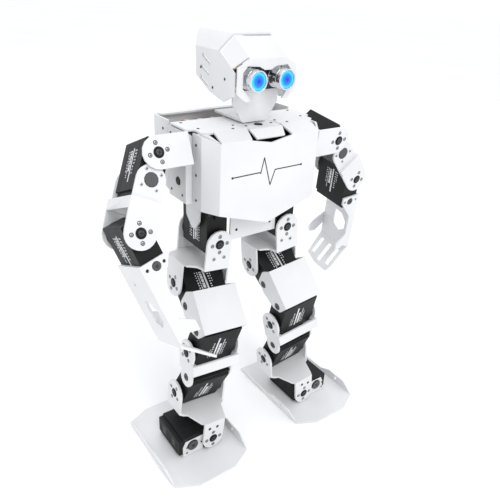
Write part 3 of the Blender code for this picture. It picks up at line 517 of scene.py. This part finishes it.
# ---------------------------------------------------------------- torso
PULSE = ((-37.2, 266.8), (-11.4, 267.3), (-9.9, 266.6), (-7.0, 278.9), (0.2, 255.2), (4.6, 267.6),
         (32.2, 267.9))
COLLAR_SCREWS = ((-54.5, 9.5), (-51.5, -12.0), (-27.0, -23.5), (-21.0, -14.5))


def pulse_line():
    """A pulse trace inlaid in the chest, drawn as straight strokes with round joins in one object."""
    low, _ = node_box("chest_shell")
    pts = [Vector((MID_X + x, low.y, z)) for x, z in PULSE]
    bm = bmesh.new()
    half = 0.48
    for a, b in zip(pts, pts[1:]):
        place = turned(a, (0, -1, 0), b - a)
        block(bm, place, (0.0, -half, -0.03), ((b - a).length, half, 0.07))
    for p in pts:
        disc(bm, turned(p, (0, -1, 0), (1, 0, 0)), half, -0.03, 0.07, seg=16)
    for p in (pts[0], pts[-1]):
        disc(bm, turned(p, (0, -1, 0), (1, 0, 0)), 1.1, -0.03, 0.08, seg=6)
    piece("pulse_inlay", bm, CHIP, "torso")


def shell_screws():
    """Small screws that hold the torso's sheets together, and the free holes in the pelvis."""
    up = (0, 0, 1)
    high = node_box("collar_plate")[1].z
    places = COLLAR_SCREWS + tuple((-x, y) for x, y in COLLAR_SCREWS[::-1])
    spots = [turned(at(x, y, high), up, (1, 0, 0)) for x, y in places]
    screws("collar_screws", spots, "torso", DARK_STEEL, 1.2, 0.35)
    high = node_box("neck_mount")[1].z
    spots = [turned(at(x, -20.5, high), up, (1, 0, 0)) for x in (-12.5, 12.5)]
    screws("tongue_screws", spots, "torso", DARK_STEEL, 1.2, 0.35)
    panels = (("flank_screws_", "side_frame", ((12.0, 293.0), (12.0, 246.0), (-6.0, 246.0))),
              ("chest_flank_screws_", "chest_shell", ((-19.0, 290.0), (-19.0, 266.0), (-19.0, 245.0))),
              ("back_flank_screws_", "back_frame", ((25.0, 293.5), (25.0, 258.0))))
    for s, side in ((-1, "right"), (1, "left")):
        for name, node, places in panels:
            x = node_box(node)[1 if s > 0 else 0].x
            screws(name + side, flank(x, s, places), "torso", DARK_STEEL, 1.2, 0.35)
    rear = Vector((MID_X, node_box("back_frame")[1].y, 0.0))
    spots = facing(rear, (0, 1, 0), [(x, z) for x in (-52.0, 52.0) for z in (256.0, 294.0)])
    screws("rear_screws", spots, "torso", DARK_STEEL, 1.5, 0.45)
    low, high = node_box("pelvis_bracket")
    places = [(x, z) for x in (-18.0, 18.0) for z in (211.0, 229.0)]
    for y, n, name in ((low.y, -1, "front"), (high.y, 1, "rear")):
        holes("pelvis_holes_" + name, facing(Vector((MID_X, y, 0.0)), (0, n, 0), places), "torso", 1.3)


def gussets():
    """Corner plates that close the top between the chest's slanted sides and the collar."""
    chest, collar = node_box("chest_shell"), node_box("collar_plate")
    for s, side in ((-1, "right"), (1, "left")):
        edge = chest[1].x if s > 0 else chest[0].x
        rim = [Vector((MID_X + s * 47.6, chest[0].y + 0.6, 295.0)),
               Vector((edge, chest[1].y - 1.5, 297.6)),
               at(s * 55.8, -20.0, collar[0].z - 0.1),
               at(s * 50.6, -27.0, collar[0].z - 0.1)]
        bm = bmesh.new()
        bm.faces.new([bm.verts.new(p) for p in rim])
        bmesh.ops.subdivide_edges(bm, edges=bm.edges, cuts=2, use_grid_fill=True)
        plate = piece("gusset_" + side, bm, COAT, "torso")
        skin = plate.modifiers.new("sheet", "SOLIDIFY")
        skin.thickness = 1.0 * MM
        skin.offset = 0.0


CHIPS = ((-20, 1, 10, 10, 1.2), (4, 2.5, 7, 7, 1.0), (20, -3, 5, 4, 1.6), (-38, -4, 4, 6, 2.2),
         (34, 3, 9, 4, 1.4))       # middle x, y, width, depth and height of each


def back_bay():
    """Chips, sockets, stand-offs and wires on the controller board, seen in the open back."""
    low, high = node_box("controller_board")
    top = high.z
    chips, plugs, posts, pins = bmesh.new(), bmesh.new(), bmesh.new(), bmesh.new()
    mid = Matrix.Translation(((low.x + high.x) / 2, (low.y + high.y) / 2, top))
    for x, y, w, d, h in CHIPS:
        block(chips, mid, (x - w / 2, y - d / 2, 0.02), (x + w / 2, y + d / 2, h))
    for k in range(8):
        x = -45.5 + 13.0 * k
        block(plugs, mid, (x - 3.6, 4.8, 0.02), (x + 3.6, 9.2, 5.4))
        for i in (-1, 0, 1):
            block(pins, mid, (x + 2.2 * i - 0.3, 6.4, 5.3), (x + 2.2 * i + 0.3, 7.0, 6.1))
    for x in (-52.5, 52.5):
        for y in (-7.0, 7.2):
            disc(posts, mid, 2.2, 0.02, 3.6, seg=6, where=(x, y))
            disc(posts, mid, 1.2, 3.5, 4.6, seg=16, where=(x, y))
    piece("board_chips", chips, CHIP, "torso", bevel=0.15)
    piece("board_sockets", plugs, IVORY, "torso", bevel=0.2)
    piece("board_pins", pins, BRASS, "torso")
    piece("board_posts", posts, BRASS, "torso")
    centre = Vector(((low.x + high.x) / 2, (low.y + high.y) / 2, top))
    for k in range(6):
        x = -39.0 + 13.0 * k
        for i, mat in enumerate((BROWN, ORANGE, PALE_WIRE)):
            a = centre + Vector((x + 1.6 * (i - 1), 6.6, 5.6))
            end = centre + Vector((x * 0.7 - 6.0 + 1.5 * i, -6.5, 3.0 + 1.1 * i))
            way = [a, a + Vector((0, -0.5, 3.2 + 0.5 * i)), a + Vector((-1.5, -4.0, 5.4)),
                   end + Vector((1.0, 3.0, 4.4)), end]
            tube("lead_%d_%d" % (k, i), way, 0.62, mat, "torso")


# ---------------------------------------------------------------- head
def dress_head():
    for side in ("left", "right"):
        low, high = node_box("eye_can_" + side)
        centre = (low + high) / 2
        mouth = Vector((centre.x, low.y, centre.z))
        look = turned(mouth, (0, -1, 0), (1, 0, 0))
        # lens dome in the material with painted glow and painted highlight
        lens = bmesh.new()
        dome = look @ Matrix.Translation((0, 0, -1.3)) @ Matrix.Diagonal((6.6, 6.6, 1.1, 1.0))
        bmesh.ops.create_uvsphere(lens, u_segments=40, v_segments=20, radius=1.0, matrix=dome)
        piece("lens_" + side, lens, PAINTED_GLOW_LENS, "head", centre=look @ Vector((0, 0, -1.3)))
        rim = bmesh.new()
        for depth in (5.2, 14.4):
            disc(rim, turned(mouth, (0, 1, 0), (1, 0, 0)), 8.12, depth - 0.3, depth + 0.3, seg=48)
        piece("can_bead_" + side, rim, CAN, "head")
    low, high = node_box("sensor_board")
    front = turned(Vector(((low.x + high.x) / 2, low.y, (low.z + high.z) / 2)), (0, -1, 0), (1, 0, 0))
    chips, parts, pins = bmesh.new(), bmesh.new(), bmesh.new()
    block(chips, front, (-3.4, -6.5, 0.02), (3.4, -2.0, 1.4))
    block(chips, front, (-2.2, 5.6, 0.02), (2.2, 8.6, 1.0))
    for s in (-1, 1):
        disc(parts, front, 1.3, 0.02, 2.6, seg=20, where=(s * 2.6, 2.0))
        disc(pins, front, 1.6, 0.0, 0.12, seg=20, where=(s * 20.6, 8.0))
        disc(pins, front, 1.6, 0.0, 0.12, seg=20, where=(s * 20.6, -8.0))
    for k in range(4):
        block(pins, front, (2.54 * (k - 1.5) - 0.32, -9.6, 0.0), (2.54 * (k - 1.5) + 0.32, -8.9, 2.2))
    piece("sensor_chips", chips, CHIP, "head", bevel=0.1)
    piece("sensor_crystal", parts, CAN, "head", bevel=0.15)
    piece("sensor_pins", pins, BRASS, "head")
    low, high = node_box("head_shell")
    for s, x in ((-1, low.x), (1, high.x)):
        spots = flank(x, s, ((-13.0, 336.0), (4.0, 327.0), (22.0, 340.0)))
        screws("head_screws_" + ("left" if s > 0 else "right"), spots, "head", DARK_STEEL, 1.1, 0.3)


# ---------------------------------------------------------------- studio
def studio():
    """Pale floor, even light and a camera looking down from the robot's right front."""
    scene = bpy.context.scene
    floor = bmesh.new()
    bmesh.ops.create_grid(floor, x_segments=1, y_segments=1, size=8.0)
    mesh = bpy.data.meshes.new("floor")
    floor.to_mesh(mesh)
    floor.free()
    pale = surface("floor_paper", (0.9, 0.9, 0.9), (0.93, 0.93, 0.93), (0.7, 0.8), 60.0, 0.02, cloud=2.0)
    mesh.materials.append(pale)
    ground = bpy.data.objects.new("floor", mesh)
    ground.location.z = -0.0002
    scene.collection.objects.link(ground)

    world = bpy.data.worlds.new("studio")
    world.use_nodes = True
    back = world.node_tree.nodes["Background"]
    back.inputs["Color"].default_value = (0.96, 0.97, 1.0, 1.0)
    back.inputs["Strength"].default_value = 1.12
    scene.world = world
    scene.view_settings.view_transform = "Standard"
    lamps = (("key", (-0.2, -1.2, 1.5), 0.7, 9.0),
             ("fill", (1.2, -0.7, 0.8), 1.0, 1.5),
             ("rim", (0.3, 1.2, 1.1), 0.8, 2.0))
    for name, place, size, power in lamps:
        lamp = bpy.data.lights.new(name, "AREA")
        lamp.size = size
        lamp.energy = power
        obj = bpy.data.objects.new(name, lamp)
        obj.location = place
        aim = Vector((0, 0, 0.19)) - Vector(place)
        obj.rotation_euler = aim.to_track_quat("-Z", "Y").to_euler()
        scene.collection.objects.link(obj)

    yaw, pitch, roll = math.radians(37.02), math.radians(27.02), math.radians(3.03)
    ahead = Vector((math.sin(yaw) * math.cos(pitch), math.cos(yaw) * math.cos(pitch), -math.sin(pitch)))
    right = ahead.cross(Vector((0, 0, 1))).normalized()
    up = right.cross(ahead)
    side = right * math.cos(roll) + up * math.sin(roll)
    top = up * math.cos(roll) - right * math.sin(roll)
    lens = bpy.data.cameras.new("view")
    lens.sensor_width = 36.0
    lens.lens = 532.1 / 500 * 36.0
    lens.clip_start = 0.01
    camera = bpy.data.objects.new("view", lens)
    eye = at(-259.3, -361.8, 404.9) * MM
    pose = Matrix((side, top, -ahead)).transposed().to_4x4()
    pose.translation = eye
    camera.matrix_world = pose
    scene.collection.objects.link(camera)
    scene.camera = camera


finish_nodes()
for sign, word in ((-1, "right"), (1, "left")):
    dress_leg(sign, word)
    dress_arm(sign, word)
pulse_line()
shell_screws()
gussets()
back_bay()
dress_head()
studio()
